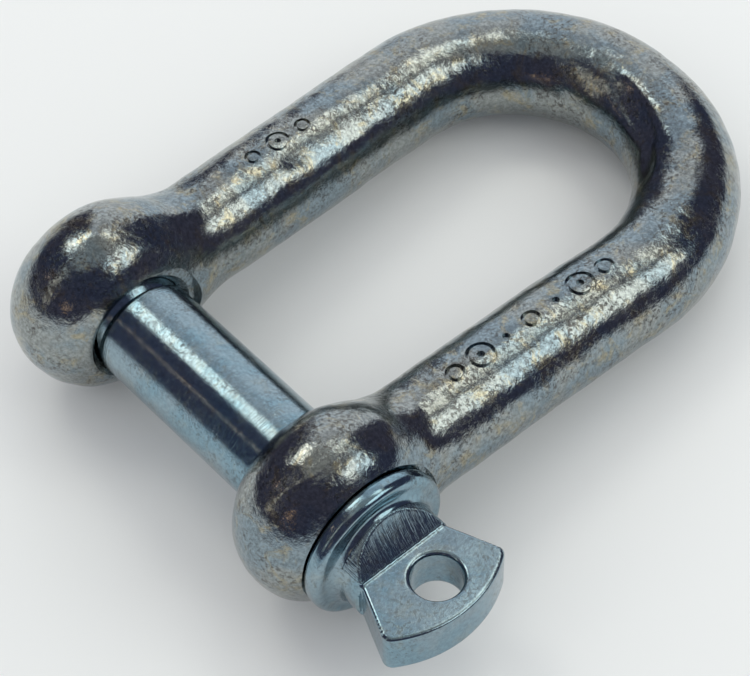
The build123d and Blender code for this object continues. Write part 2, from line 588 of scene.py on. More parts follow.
class Shader:
    """A material's node tree, with short ways to add nodes."""

    def __init__(self, name: str) -> None:
        """Starts a material with a Principled shader on Object coordinates.

        Args:
            name: Name of the material.
        """
        self.material = bpy.data.materials.new(name)
        self.material.use_nodes = True
        self.tree = self.material.node_tree
        self.metal = self.tree.nodes["Principled BSDF"]
        self.place = self.tree.nodes.new("ShaderNodeTexCoord").outputs["Object"]

    def node(self, kind: str, inputs: Inputs | None = None, **settings: object) -> bpy.types.Node:
        """Adds a node of a kind, with its inputs and its own properties."""
        return add_node(self.tree, kind, inputs, settings)

    def stretch(self, scale: tuple[float, float, float]) -> bpy.types.NodeSocket:
        """Object coordinates with a scale of their own for each axis."""
        return self.node("ShaderNodeMapping", {"Vector": self.place, "Scale": scale}).outputs[0]

    def noise(
        self, size: float, detail: float = 2.0, rough: float = 0.5, warp: float = 0.0
    ) -> bpy.types.NodeSocket:
        """Adds a noise texture.

        Args:
            size: How wide its grains are, in millimetres.
            detail: How many finer layers it has.
            rough: How strong they are.
            warp: How far it is distorted.

        Returns:
            The noise, from 0 to 1.
        """
        return self.node("ShaderNodeTexNoise", {
            "Vector": self.place, "Scale": 1.0 / (size * MM), "Detail": detail,
            "Roughness": rough, "Distortion": warp}).outputs["Fac"]

    def band(self, value: bpy.types.NodeSocket, low: float, high: float,
             to_low: float = 0.0, to_high: float = 1.0) -> bpy.types.NodeSocket:
        """Stretches a range of values smoothly over another range.

        Args:
            value: The value.
            low: Where the range starts.
            high: Where it ends.
            to_low: What the start becomes.
            to_high: What the end becomes.

        Returns:
            The new value, which stays between to_low and to_high.
        """
        return self.node("ShaderNodeMapRange", {
            "Value": value, "From Min": low, "From Max": high, "To Min": to_low, "To Max": to_high},
            interpolation_type="SMOOTHSTEP").outputs[0]

    def blend(self, share: bpy.types.NodeSocket, a: object, b: object) -> bpy.types.NodeSocket:
        """Mixes two colours by a share."""
        return self.node("ShaderNodeMix", {0: share, 6: a, 7: b}, data_type="RGBA").outputs[2]

    def math(self, operation: str, a: object, b: object = 0.0) -> bpy.types.NodeSocket:
        """Adds a Math node and gives its result."""
        return self.node("ShaderNodeMath", {0: a, 1: b}, operation=operation).outputs[0]

    def bump(self, height: bpy.types.NodeSocket, depth: float,
             under: bpy.types.NodeSocket | None = None) -> bpy.types.NodeSocket:
        """Adds relief.

        Args:
            height: The relief's height, from 0 to 1.
            depth: Its depth, in millimetres.
            under: The relief that it lies on.

        Returns:
            The normal.
        """
        inputs: Inputs = {"Height": height, "Strength": 1.0, "Distance": depth * MM}
        if under is not None:
            inputs["Normal"] = under
        return self.node("ShaderNodeBump", inputs).outputs[0]

    def tooled(self, marks: ToolMarks) -> bpy.types.NodeSocket:
        """The height of a stretch of tool marks, which is even outside the stretch.

        Args:
            marks: The tool marks.

        Returns:
            The height, from 0 to 1.
        """
        spot = self.node("ShaderNodeSeparateXYZ", {0: self.place})
        away = self.math("ABSOLUTE", spot.outputs["Z"])
        inside = self.band(spot.outputs["X"], (marks.first - marks.fade) * MM, marks.first * MM)
        for value, low, high, to_low, to_high in (
            (spot.outputs["X"], marks.last, marks.last + marks.fade, 1.0, 0.0),
            (away, marks.above - marks.fade / 2, marks.above + marks.fade / 2, 0.0, 1.0),
            (away, marks.below, marks.below + marks.fade, 1.0, 0.0),
        ):
            inside = self.math("MULTIPLY", inside, self.band(value, low * MM, high * MM, to_low, to_high))
        where = self.stretch(tuple(1.0 / (size * MM) for size in marks.grain))
        lines = self.node("ShaderNodeTexNoise", {
            "Vector": where, "Scale": 1.0, "Detail": 2.0, "Roughness": 0.6}).outputs["Fac"]
        return self.math("MULTIPLY", inside, lines)

    def wire(self, value: bpy.types.NodeSocket, socket: str) -> None:
        """Links a value to one of the shader's own sockets."""
        self.tree.links.new(value, self.metal.inputs[socket])


@dataclass(frozen=True)
class ZincPlate:
    """Bright zinc plate over steel.

    Attributes:
        name: Name of the material.
        zinc: Colour of the clean plate.
        blue: Colour where the passivate looks blue.
        straw: Colour where it looks straw yellow.
        stain: Colour of the thin, stained spots.
        roughness: Roughness of the clean plate.
        grain: Depth of the fine orange peel, in millimetres.
        dapple: Depth of the scale marks, in millimetres.
        swell: Depth of the wider forging marks, in millimetres.
        pits: Depth of the stained spots, in millimetres.
        straw_share: How much of the straw colour shows where it is strongest.
        mottle: How much lighter or darker the fine mottling is.
        stained: How much of the stain's colour a spot takes.
        dullness: How much rougher a stained spot is.
        cloud_size: Size of the blue clouds, in millimetres, like the sizes that follow.
        straw_size: Size of the straw patches.
        crowd_size: Size of the places where the stained spots crowd.
        speck_size: Size of a stained spot.
        mottle_size: Size of the fine mottling.
        gloss_size: Size of the patches of gloss.
        swell_size: Size of the wider forging marks.
        dapple_size: Size of the scale marks.
        grain_size: Size of the orange peel.
        tool_marks: The stretches with tool marks.
    """

    name: str
    zinc: Colour = (0.30, 0.325, 0.32, 1.0)
    blue: Colour = (0.23, 0.29, 0.325, 1.0)
    straw: Colour = (0.37, 0.33, 0.22, 1.0)
    stain: Colour = (0.07, 0.06, 0.055, 1.0)
    roughness: float = 0.10
    grain: float = 0.014
    dapple: float = 0.060
    swell: float = 0.07
    pits: float = 0.007
    straw_share: float = 0.75
    mottle: float = 0.24
    stained: float = 0.8
    dullness: float = 0.12
    cloud_size: float = 7.0
    straw_size: float = 2.6
    crowd_size: float = 4.0
    speck_size: float = 0.5
    mottle_size: float = 0.42
    gloss_size: float = 1.6
    swell_size: float = 4.5
    dapple_size: float = 1.0
    grain_size: float = 0.32
    tool_marks: tuple[ToolMarks, ...] = ()

    def material(self) -> bpy.types.Material:
        """Builds the finish: clouded colour, patchy gloss, orange peel, forging and tool marks.

        Returns:
            The material.
        """
        make = Shader(self.name)
        make.metal.inputs["Metallic"].default_value = 1.0
        clouds = make.band(make.noise(self.cloud_size, 4.0, 0.6, 0.4), 0.42, 0.60)
        tint = make.blend(clouds, self.zinc, self.blue)
        warm = make.band(make.noise(self.straw_size, 5.0, 0.7, 0.6), 0.50, 0.68, 0.0, self.straw_share)
        tint = make.blend(warm, tint, self.straw)
        crowded = make.band(make.noise(self.crowd_size, 2.0, 0.5, 0.3), 0.36, 0.66, 0.15, 0.95)
        specks = make.band(make.noise(self.speck_size, 4.0, 0.75, 0.5), 0.51, 0.60)
        specks = make.math("MULTIPLY", specks, crowded)
        tint = make.blend(make.math("MULTIPLY", specks, self.stained), tint, self.stain)
        mottle = make.band(
            make.noise(self.mottle_size, 3.0, 0.7), 0.30, 0.70, 1.0 - self.mottle, 1.0 + self.mottle)
        shaded = make.node("ShaderNodeHueSaturation", {"Value": mottle, "Color": tint}).outputs[0]
        make.wire(shaded, "Base Color")
        gloss = make.band(
            make.noise(self.gloss_size, 4.0, 0.6), 0.35, 0.70, self.roughness * 0.8, self.roughness * 1.5)
        make.wire(make.math("ADD", gloss, make.math("MULTIPLY", specks, self.dullness)), "Roughness")
        relief = make.bump(make.noise(self.swell_size, 2.0, 0.5), self.swell)
        relief = make.bump(make.noise(self.dapple_size, 3.0, 0.55, 0.3), self.dapple, relief)
        relief = make.bump(make.noise(self.grain_size, 4.0, 0.7), self.grain, relief)
        relief = make.bump(make.math("SUBTRACT", 1.0, specks), self.pits, relief)
        for marks in self.tool_marks:
            relief = make.bump(make.tooled(marks), marks.depth, relief)
        make.wire(relief, "Normal")
        return make.material


@dataclass(frozen=True)
class PaleFloor:
    """Matt pale paper for the floor, which thins out to nothing at the edge of its disc.

    Attributes:
        name: Name of the material.
        colour: Its colour.
        clear_from: Distance in metres from the middle where it starts to thin out.
        clear_to: Distance where it is gone.
        edge: Radius of the floor's disc.
        roughness: Its roughness.
        sheen: How strongly it reflects.
    """

    name: str
    colour: Colour
    clear_from: float
    clear_to: float
    edge: float
    roughness: float = 0.9
    sheen: float = 0.1

    def material(self) -> bpy.types.Material:
        """Builds the finish.

        Returns:
            The material.
        """
        make = Shader(self.name)
        make.metal.inputs["Base Color"].default_value = self.colour
        make.metal.inputs["Roughness"].default_value = self.roughness
        make.metal.inputs["Specular IOR Level"].default_value = self.sheen
        span = make.node("ShaderNodeVectorMath", {0: make.place}, operation="LENGTH").outputs["Value"]
        make.wire(make.band(span, self.clear_from, self.clear_to, 1.0, 0.0), "Alpha")
        return make.material


@dataclass(frozen=True)
class ReflectionOnlyGlow:
    """A half dome's glow that only reflections see: a painted reflection of dark surroundings and a pale
    ceiling.

    Attributes:
        name: Name of the material.
        low: Glow at the sides, a painted dark reflection.
        high: Glow on top, a painted reflection of a pale ceiling.
        turn_low: Height in metres where the dark glow ends.
        turn_high: Height where the ceiling's glow starts.
    """

    name: str
    low: Colour
    high: Colour
    turn_low: float
    turn_high: float

    def material(self) -> bpy.types.Material:
        """Builds the glow, a painted reflection: dark at the sides, a pale ceiling on top.

        Returns:
            The material.
        """
        make = Shader(self.name)
        # Emission seen only in reflections, not a lamp: a painted dark reflection at the sides and a painted
        # pale ceiling above.
        height = make.node("ShaderNodeSeparateXYZ", {0: make.place}).outputs["Z"]
        glow = make.node("ShaderNodeEmission", {"Strength": 1.0})
        tint = make.blend(make.band(height, self.turn_low, self.turn_high), self.low, self.high)
        make.tree.links.new(tint, glow.inputs["Color"])
        make.tree.links.new(glow.outputs[0], make.tree.nodes["Material Output"].inputs["Surface"])
        return make.material


# ---------------------------------------------------------------------------------------------
# The forged body
# ---------------------------------------------------------------------------------------------


@dataclass(frozen=True)
class PunchRow:
    """A row of plain punch signs on top of a leg. Lengths are in millimetres.

    Attributes:
        pattern: The signs in order from the ear.
        leg_x: The leg's centre line.
        start: Height of the first sign's middle above the pin.
        spacing: From sign to sign.
        height: Height of a sign, across the leg.
        stroke: Width of a stroke.
        depth: Depth of the strike.
    """

    pattern: tuple[Mark, ...]
    leg_x: float
    start: float
    spacing: float
    height: float
    stroke: float
    depth: float


@dataclass(frozen=True)
class Dent:
    """A long dent with a flat floor. Lengths are in millimetres.

    Attributes:
        middle: Its middle.
        way: Unit vector along it.
        half_length: Half its length.
        half_width: Half its width.
        depth: Its depth.
    """

    middle: tuple[float, float, float]
    way: tuple[float, float, float]
    half_length: float
    half_width: float
    depth: float

    def at(self, points: np.ndarray) -> np.ndarray:
        """The dent's height at each point.

        Args:
            points: Places, one a row.

        Returns:
            One height a row, zero or less.
        """
        offset = points - np.array(self.middle)
        along = offset @ np.array(self.way)
        aside = (offset**2).sum(1) - along**2
        spread = (along / self.half_length) ** 2 + aside / self.half_width**2
        return -self.depth * np.exp(-(spread**2))


@dataclass
class ForgedBody:
    """The bent bar with its two ears. Lengths are in millimetres on the bench.

    Attributes:
        bar_radius: Radius of the round bar.
        leg_spacing: Between the legs' centre lines at the pin.
        bow_radius: Radius of the crown's centre line.
        ear_rim: Radius of the ears' rounded rims.
        ear_outset: How far an ear's middle stands outside its leg's centre line.
        neck_blends: Width of the forged blend from ear to leg, tapped ear first.
        jaw_face: The faced insides of the ears.
        jaw_cutter: Radius of the cutter that faces them.
        seat_face: The faced seat of the collar.
        seat_cutter: Radius of the cutter that faces it.
        plain_bore: Radius of the plain bore.
        tapped_crest: Radius of the tapped hole at its crests.
        tapped_root: Radius of the tapped hole at its roots.
        mouth: Chamfer of the bores' mouths.
        wall_pitch: From ring to ring along the bores.
        facets: Facets round the bar.
        ring_pitch: From ring to ring along the bar.
        flash_height: Height of the line that the dies left on the plain ear.
        flash_width: Half its width.
        flash_outset: How far its top stands outside the leg's centre line.
        flash_low: How far its top lies below the pin's axis.
        flash_arch: How fast it curves in from its top.
        flash_reach: How far along the leg it runs either way at its full height.
        flash_fade: How far it takes to fade out there.
        ripples: The hammered unevenness.
        grips: The flats that the bender's grip left on the crown and on one leg.
    """

    bar_radius: float = 6.0
    leg_spacing: float = 35.5
    bow_radius: float = 18.7
    ear_rim: float = 6.65
    ear_outset: float = 0.5
    neck_blends: tuple[float, float] = (3.6, 2.6)
    jaw_face: float = 12.1
    jaw_cutter: float = 7.5
    seat_face: float = 23.5
    seat_cutter: float = 8.85
    plain_bore: float = 6.6
    tapped_crest: float = 5.65
    tapped_root: float = 6.6
    mouth: float = 0.8
    wall_pitch: float = 0.8
    facets: int = 144
    ring_pitch: float = 0.33
    flash_height: float = 0.11
    flash_width: float = 0.24
    flash_outset: float = 2.35
    flash_low: float = 1.9
    flash_arch: float = 0.045
    flash_reach: float = 4.5
    flash_fade: float = 1.5
    ripples: tuple[Ripple, ...] = (Ripple(9.0, 26.0, 0.055, SEED), Ripple(2.2, 6.0, 0.020, SEED + 1))
    grips: tuple[Dent, ...] = (
        Dent((4.2, 56.6, 4.6), (0.92, -0.39, 0.0), 5.2, 1.5, 0.42),
        Dent((9.6, 52.4, 4.4), (0.62, -0.78, 0.0), 2.4, 1.2, 0.30),
        Dent((-15.6, 30.0, 4.6), (0.0, 1.0, 0.0), 9.0, 1.3, 0.10),
    )

    def __post_init__(self) -> None:
        """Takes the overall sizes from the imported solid."""
        low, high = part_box("shackle_body")
        self.ear_radius = -low.y / MM
        self.crown_height = high.y / MM - self.bar_radius
        self.outside = -low.x / MM

    def bow_points(self) -> tuple[float, float, float]:
        """Where a straight leg meets the crown's arc, and the arc's centre.

        Returns:
            The tangent point's x and y, and the centre's y.
        """
        centre = self.crown_height - self.bow_radius
        half = self.leg_spacing / 2
        turn = math.acos(self.bow_radius / math.hypot(half, centre)) - math.atan2(centre, half)
        return self.bow_radius * math.cos(turn), centre + self.bow_radius * math.sin(turn), centre

    def centre_line(self) -> np.ndarray:
        """The bar's centre line from one ear's middle, round the crown, to the other's.

        Returns:
            One ring's middle a row.
        """
        x, y, centre = self.bow_points()
        half = self.leg_spacing / 2
        steps = math.ceil(math.hypot(x - half, y) / self.ring_pitch)
        share = np.linspace(0.0, 1.0, steps, endpoint=False)[:, None]
        leg = np.array([-half, 0.0]) + share * np.array([half - x, y])
        first = math.pi - math.atan2(y - centre, x)
        last = math.pi - first
        turns = np.linspace(first, last, math.ceil((first - last) * self.bow_radius / self.ring_pitch))
        arc = np.stack([self.bow_radius * np.cos(turns), centre + self.bow_radius * np.sin(turns)], 1)
        path = np.vstack([leg, arc, (leg * (-1.0, 1.0))[::-1]])
        return np.column_stack([path, np.zeros(len(path))])

    def bar_rule(self, points: np.ndarray) -> np.ndarray:
        """The distance to the plain bent bar.

        Args:
            points: Places, one a row.

        Returns:
            One distance a row.
        """
        x, y, centre = self.bow_points()
        half = self.leg_spacing / 2
        across, height = np.abs(points[:, 0]), points[:, 1]
        way = np.array([x - half, y])
        share = np.clip(((across - half) * way[0] + height * way[1]) / (way @ way), 0.0, 1.0)
        leg = np.hypot(across - half - share * way[0], height - share * way[1])
        in_crown = np.arctan2(height - centre, across) >= math.atan2(y - centre, x)
        crown = np.abs(np.hypot(across, height - centre) - self.bow_radius)
        flat = np.where(in_crown, np.minimum(crown, leg), leg)
        return np.hypot(flat, points[:, 2]) - self.bar_radius

    def ear_rule(self, points: np.ndarray, side: int) -> np.ndarray:
        """The distance to the ear on one side, a thick disc with a round rim.

        Args:
            points: Places, one a row.
            side: -1 for the tapped ear, 1 for the plain one.

        Returns:
            One distance a row.
        """
        middle = side * (self.leg_spacing / 2 + self.ear_outset)
        radial = np.hypot(points[:, 1], points[:, 2])
        past = np.maximum(radial - (self.ear_radius - self.ear_rim), 0.0)
        return np.hypot(past, points[:, 0] - middle) - self.ear_rim

    def rule(self, points: np.ndarray) -> np.ndarray:
        """The distance to the forging, with its ears blended into its legs.

        Args:
            points: Places, one a row.

        Returns:
            One distance a row.
        """
        bar = self.bar_rule(points)
        tapped, plain = (
            soft_min(bar, self.ear_rule(points, side), blend)
            for side, blend in zip((-1, 1), self.neck_blends))
        return np.minimum(tapped, plain)

    def flash(self, points: np.ndarray) -> np.ndarray:
        """The height of the flash line, which arches over the top of the plain ear.

        Args:
            points: Places, one a row.

        Returns:
            One height a row.
        """
        x, y = points[:, 0], points[:, 1] + self.flash_low
        line = self.leg_spacing / 2 + self.flash_outset - self.flash_arch * y**2
        fade = np.clip((self.flash_reach - np.abs(y)) / self.flash_fade + 1.0, 0.0, 1.0)
        crest = np.where(points[:, 2] > 0.0, self.flash_height * fade, 0.0)
        return crest * np.exp(-(((x - line) / self.flash_width) ** 2))

    def blank(self, halvings: int = 30) -> bpy.types.Object:
        """Sweeps the bar with its tree, then swells it to the forging's shape.

        Args:
            halvings: How often the search along a ray halves its step.

        Returns:
            The closed forging, before any machining.
        """
        line = self.centre_line()
        caps = math.ceil(self.ear_radius * math.pi / 2 / self.ring_pitch)
        tails = np.linspace(-self.ear_radius, 0.0, caps, endpoint=False)
        down = np.column_stack([np.zeros(caps), tails, np.zeros(caps)])
        path = np.vstack([line[0] + down, line, (line[-1] + down)[::-1]])
        curve = bpy.data.curves.new("bar_line", "CURVE")
        curve.dimensions = "3D"
        spline = curve.splines.new("POLY")
        spline.points.add(len(path) - 1)
        spline.points.foreach_set("co", np.column_stack([path, np.ones(len(path))]).ravel())
        guide = bench_object("bar_line", curve)
        mesh = bent_bar_tree().apply(guide, {"Bar Radius": self.bar_radius, "Facets": self.facets})
        scrap(guide)
        points = mesh_points(mesh).reshape(len(path), self.facets, 3)
        radial = points - path[:, None, :]
        radial /= np.linalg.norm(radial, axis=2, keepdims=True)
        # Below an ear's middle the rays fan out from it to a pole.
        lean = np.clip(np.arange(len(path)), None, caps) / caps
        lean = np.minimum(lean, lean[::-1])[:, None, None] * (math.pi / 2)
        rays = radial * np.sin(lean) + np.array([0.0, -1.0, 0.0]) * np.cos(lean)
        roots = path.copy()
        roots[:caps], roots[-caps:] = line[0], line[-1]
        starts = np.repeat(roots, self.facets, axis=0)
        rays = rays.reshape(-1, 3)
        rays[:self.facets] = rays[-self.facets:] = (0.0, -1.0, 0.0)
        near = np.zeros(len(rays))
        far = np.full(len(rays), 2.0 * self.ear_radius)
        for _ in range(halvings):
            middle = (near + far) / 2
            inside = self.rule(starts + rays * middle[:, None]) < 0.0
            near, far = np.where(inside, middle, near), np.where(inside, far, middle)
        move_points(mesh, self.weathered(starts + rays * far[:, None]))
        heal(mesh, 10 * WELD)
        return bench_object("shackle_body_blank", mesh)

    def weathered(self, points: np.ndarray) -> np.ndarray:
        """Adds the hammered unevenness, the flash line and the dents of a real forging.

        Args:
            points: Places on the smooth forging.

        Returns:
            The moved places.
        """
        normals = slope_of(self.rule, points)
        normals /= np.linalg.norm(normals, axis=1, keepdims=True)
        relief = self.flash(points)
        for shape in (*self.ripples, *self.grips):
            relief += shape.at(points)
        return points + normals * relief[:, None]

    def bore_tool(self, name: str, radius: float, inner: float, outer: float) -> bpy.types.Object:
        """A drill with a countersink at both mouths.

        Args:
            name: Name of the object.
            radius: Radius of the bore.
            inner: The face nearer the middle of the jaw.
            outer: The face away from it.

        Returns:
            The closed cutter.
        """
        step = math.copysign(self.mouth, outer)
        flare, past = radius + 2 * self.mouth, outer + 2 * step
        walls = [(x, radius) for x in ramp(inner + step, outer - step, self.wall_pitch)]
        return turned(name, [
            (inner - step, 0.0), (inner - step, flare), *walls,
            (outer + step, flare), (past, flare), (past, 0.0)], BORE_SIDES)

    def machine(self, work: bpy.types.Object) -> None:
        """Faces the ears, drills both of them and taps the far one.

        Args:
            work: The forging.
        """
        face, clear = self.jaw_face, self.outside + 2 * self.mouth
        carve(work, puck("jaw_facer", -face, face, self.jaw_cutter, CUTTER_SIDES), Carve.CUT)
        carve(work, puck("seat_facer", self.seat_face, clear, self.seat_cutter, CUTTER_SIDES), Carve.CUT)
        carve(work, self.bore_tool("plain_drill", self.plain_bore, face, self.seat_face), Carve.CUT)
        carve(work, self.bore_tool("tap_drill", self.tapped_crest, -face, -self.outside), Carve.CUT)
        tap = ScrewThread(crest=self.tapped_crest, root=self.tapped_root)
        carve(work, tap.cutter("tap", -self.outside + self.mouth / 2, -face - self.mouth / 2), Carve.CUT)

    def stamp(self, work: bpy.types.Object, row: PunchRow) -> None:
        """Strikes a row of plain signs into the top of a leg.

        Args:
            work: The forging.
            row: The row to strike.
        """
        base = bench_object("punch_base", bpy.data.meshes.new("punch_base"))
        mesh = punch_row_tree(row.pattern).apply(base, {
            "Spacing": row.spacing, "Start": row.start, "Sign Height": row.height, "Stroke": row.stroke,
            "Strike Depth": row.depth, "Bar Radius": self.bar_radius})
        scrap(base)
        points = mesh_points(mesh)
        points[:, 0] += row.leg_x
        move_points(mesh, points)
        heal(mesh)
        carve(work, bench_object("punch_row", mesh), Carve.CUT)

    def build(self, finish: ZincPlate, rows: Sequence[PunchRow]) -> bpy.types.Object:
        """Forges, machines and stamps the body, and dresses it.

        Args:
            finish: Its finish.
            rows: Its punch rows.

        Returns:
            The finished piece, in metres.
        """
        work = self.blank()
        self.machine(work)
        for row in rows:
            self.stamp(work, row)
        return finished(work, "forged_shackle_body", finish)


# ---------------------------------------------------------------------------------------------
# The screw thread and the pin
# ---------------------------------------------------------------------------------------------


@dataclass(frozen=True)
class ScrewThread:
    """A right-hand screw thread about the pin's axis. Lengths are in millimetres.

    Attributes:
        crest: Radius at the crests.
        root: Radius at the roots, smaller than the crest on a pin and larger in a hole.
        pitch: From crest to crest.
        flat_share: Width of a crest or a root, as a share of the pitch.
        overcut: How far the cutter reaches past the crest.
        lift_share: How far a run-out lifts the cutter, as a share of the thread's depth.
        facets: Facets in one turn.
    """

    crest: float
    root: float
    pitch: float = 1.75
    flat_share: float = 0.16
    overcut: float = 0.15
    lift_share: float = 1.3
    facets: int = 80

    def cutter(
        self, name: str, first: float, last: float, stop: float = 0.0, runout: float = 0.5
    ) -> bpy.types.Object:
        """The helical cutter between two places on the axis.

        Args:
            name: Name of the object.
            first: Where the groove starts, at the latest.
            last: Where it ends.
            stop: The part of a turn at which it ends, from +Y towards +Z.
            runout: The part of a turn over which it leaves the metal.

        Returns:
            The closed cutter.
        """
        depth = self.root - self.crest
        mouth = self.crest - math.copysign(self.overcut, depth)
        root_width = self.flat_share * self.pitch
        full = self.pitch * (1.0 - 2.0 * self.flat_share)
        mouth_width = root_width + full * (1.0 + self.overcut / abs(depth))
        turns = math.ceil((last - first) / self.pitch - stop) + stop
        base = bench_object(name, bpy.data.meshes.new(name))
        outward = depth > 0
        mesh = screw_groove_tree().apply(base, {
            "Pitch": self.pitch, "Turns": turns, "Middle Radius": (self.root + mouth) / 2,
            "Groove Height": abs(self.root - mouth),
            "Crest Side Width": mouth_width if outward else root_width,
            "Root Side Width": root_width if outward else mouth_width,
            "Run-out Share": runout / turns, "Run-out Lift": -self.lift_share * depth,
            "Facets per Turn": self.facets})
        scrap(base)
        # The tree winds about Z: a cyclic turn of the axes lays it along X and keeps its hand.
        points = mesh_points(mesh)[:, [2, 0, 1]]
        points[:, 0] += last - turns * self.pitch
        move_points(mesh, points)
        heal(mesh)
        return bench_object(name, mesh)


@dataclass
class ScrewPin:
    """The collar pin. Lengths are in millimetres on the bench.

    Attributes:
        shank: Radius of the plain shank.
        thread_crest: Radius at the thread's crests.
        thread_root: Radius at its roots.
        tip_chamfer: Chamfer of the threaded end.
        shank_start: Where the plain shank starts, from the middle of the jaw towards the tip.
        shank_pitch: From ring to ring along the shank.
        groove_past: How far the thread's groove reaches past both ends of the thread.
        groove_stop: The part of a turn at which the groove ends beside the shank.
        groove_runout: The part of a turn over which it leaves the metal.
        collar_face: The collar's inner face.
        collar_thickness: Its thickness.
        collar_radius: Its radius.
        collar_roll: Radius of its rolled rim.
        neck: Radius of the round neck.
        neck_blend: Width of the blend at the neck's foot.
        ramp_hollow: Radius of the hollow ramps from the neck down to the flat tab.
        ramp_run: Their length along the pin.
        ramp_end: Where they meet the flat tab.
        ramp_arris: Width of the rounding at their edges.
        scratch_count: Number of the lengthwise waves in the ramps' tool marks.
        scratch_spacing: Their shortest and longest wave lengths.
        scratch_depth: Their height.
        tab_half: Half the tab's thickness.
        tab_blend: Width of the blend from the ramps to the tab.
        root_half: Half the tab's width where the ramps end.
        corner_x: Where its corners are.
        corner_half: Half its width across them.
        corner_round: Width of the rounding at the corners.
        arris: Radius of its rolled edges.
        eye: Radius of the lanyard eye.
        eye_x: Its place along the pin.
        eye_y: How far it sits to the crown's side of the axis.
        eye_roll: Width of the rounding at its rims.
        unevenness: The head's slight unevenness.
        coarse: Edge length of the head's first mesh.
        fine: Edge length of its finest mesh.
    """

    shank: float = 5.75
    thread_crest: float = 5.55
    thread_root: float = 4.6
    tip_chamfer: float = 1.1
    shank_start: float = 11.35
    shank_pitch: float = 0.9
    groove_past: float = 0.6
    groove_stop: float = 0.23
    groove_runout: float = 0.06
    collar_face: float = 23.55
    collar_thickness: float = 2.2
    collar_radius: float = 8.45
    collar_roll: float = 0.85
    neck: float = 6.05
    neck_blend: float = 1.3
    ramp_hollow: float = 17.0
    ramp_run: float = 2.6
    ramp_end: float = 29.15
    ramp_arris: float = 0.22
    scratch_count: int = 14
    scratch_spacing: tuple[float, float] = (0.45, 1.3)
    scratch_depth: float = 0.005
    tab_half: float = 2.55
    tab_blend: float = 0.3
    root_half: float = 5.4
    corner_x: float = 35.25
    corner_half: float = 7.9
    corner_round: float = 0.9
    arris: float = 0.3
    eye: float = 2.65
    eye_x: float = 33.2
    eye_y: float = 0.75
    eye_roll: float = 0.45
    unevenness: Ripple = Ripple(3.5, 9.0, 0.007, SEED + 3)
    coarse: float = 0.45
    fine: float = 0.16

    def __post_init__(self) -> None:
        """Takes the pin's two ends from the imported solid."""
        low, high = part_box("screw_pin")
        self.tip = low.x / MM
        self.apex = high.x / MM
        self.collar_end = self.collar_face + self.collar_thickness

    def tab_outline(self, points: np.ndarray) -> np.ndarray:
        """The distance, in the tab's own plane, to its fan-shaped outline.

        Args:
            points: Places, one a row.

        Returns:
            One distance a row.
        """
        along, across = points[:, 0], np.abs(points[:, 1])
        run, spread = self.corner_x - self.ramp_end, self.corner_half - self.root_half
        length = math.hypot(run, spread)
        flank = ((across - self.root_half) * run - (along - self.ramp_end) * spread) / length
        rise = self.apex - self.corner_x
        arc = (self.corner_half**2 + rise**2) / (2 * rise)
        end = np.hypot(along - (self.apex - arc), points[:, 1]) - arc
        return np.maximum(soft_max(flank, end, self.corner_round), self.collar_end - along)

    def scratches(self, points: np.ndarray) -> np.ndarray:
        """Lengthwise tool marks on the ramps.

        Args:
            points: Places, one a row.

        Returns:
            One height a row.
        """
        dice = np.random.default_rng(SEED + 5)
        total = np.zeros(len(points))
        for _ in range(self.scratch_count):
            length = dice.uniform(*self.scratch_spacing)
            total += np.sin(points[:, 1] * 2.0 * math.pi / length + dice.uniform(0.0, 2.0 * math.pi))
        return total * self.scratch_depth

    def rule(self, points: np.ndarray) -> np.ndarray:
        """The distance to the pin's head: collar, ramped neck and pierced tab.

        Args:
            points: Places, one a row.

        Returns:
            One distance a row.
        """
        along, thick = points[:, 0], np.abs(points[:, 2])
        radial = np.hypot(points[:, 1], points[:, 2])
        half = self.collar_thickness / 2
        collar = rounded_slab(
            radial - self.collar_radius, np.abs(along - self.collar_face - half) - half, self.collar_roll)
        neck = rounded_slab(
            radial - self.neck, np.maximum(along - self.ramp_end, self.collar_face + half - along), 0.0)
        drop = self.neck - self.tab_half
        chord = math.hypot(self.ramp_run, drop)
        reach = math.sqrt(self.ramp_hollow**2 - chord**2 / 4) / chord
        centre_x = self.ramp_end - self.ramp_run / 2 + drop * reach
        centre_z = self.tab_half + drop / 2 + self.ramp_run * reach
        hollow = self.ramp_hollow - np.hypot(along - centre_x, thick - centre_z)
        neck = soft_max(neck, hollow + self.scratches(points), self.ramp_arris)
        tab = rounded_slab(self.tab_outline(points), thick - self.tab_half, self.arris)
        head = soft_min(soft_min(neck, tab, self.tab_blend), collar, self.neck_blend)
        hole = self.eye - np.hypot(along - self.eye_x, points[:, 1] - self.eye_y)
        head = np.maximum(head, self.collar_face - along)
        return soft_max(head, hole, self.eye_roll) + self.unevenness.at(points)

    def rough_tab(self, tip_shy: float = 0.3, side_shy: float = 0.4, foot_shy: float = 1.5,
                  foot_gap: float = 0.5) -> bpy.types.Object:
        """A wedge a little smaller than the tab, for the rough cut.

        Args:
            tip_shy: How far it stays inside the tab's end.
            side_shy: How far it stays inside the tab's corners.
            foot_shy: How far its foot stays inside the neck.
            foot_gap: From the collar to its foot.

        Returns:
            The closed wedge.
        """
        plate = bpy.data.meshes.new("tab_rough")
        work = bmesh.new()
        bmesh.ops.create_cube(work, size=2.0)
        for vertex in work.verts:
            far = vertex.co.x > 0
            vertex.co.x = self.apex - tip_shy if far else self.collar_end + foot_gap
            vertex.co.y *= self.corner_half - side_shy if far else self.neck - foot_shy
            vertex.co.z *= self.tab_half
        work.to_mesh(plate)
        work.free()
        return bench_object("tab_rough", plate)

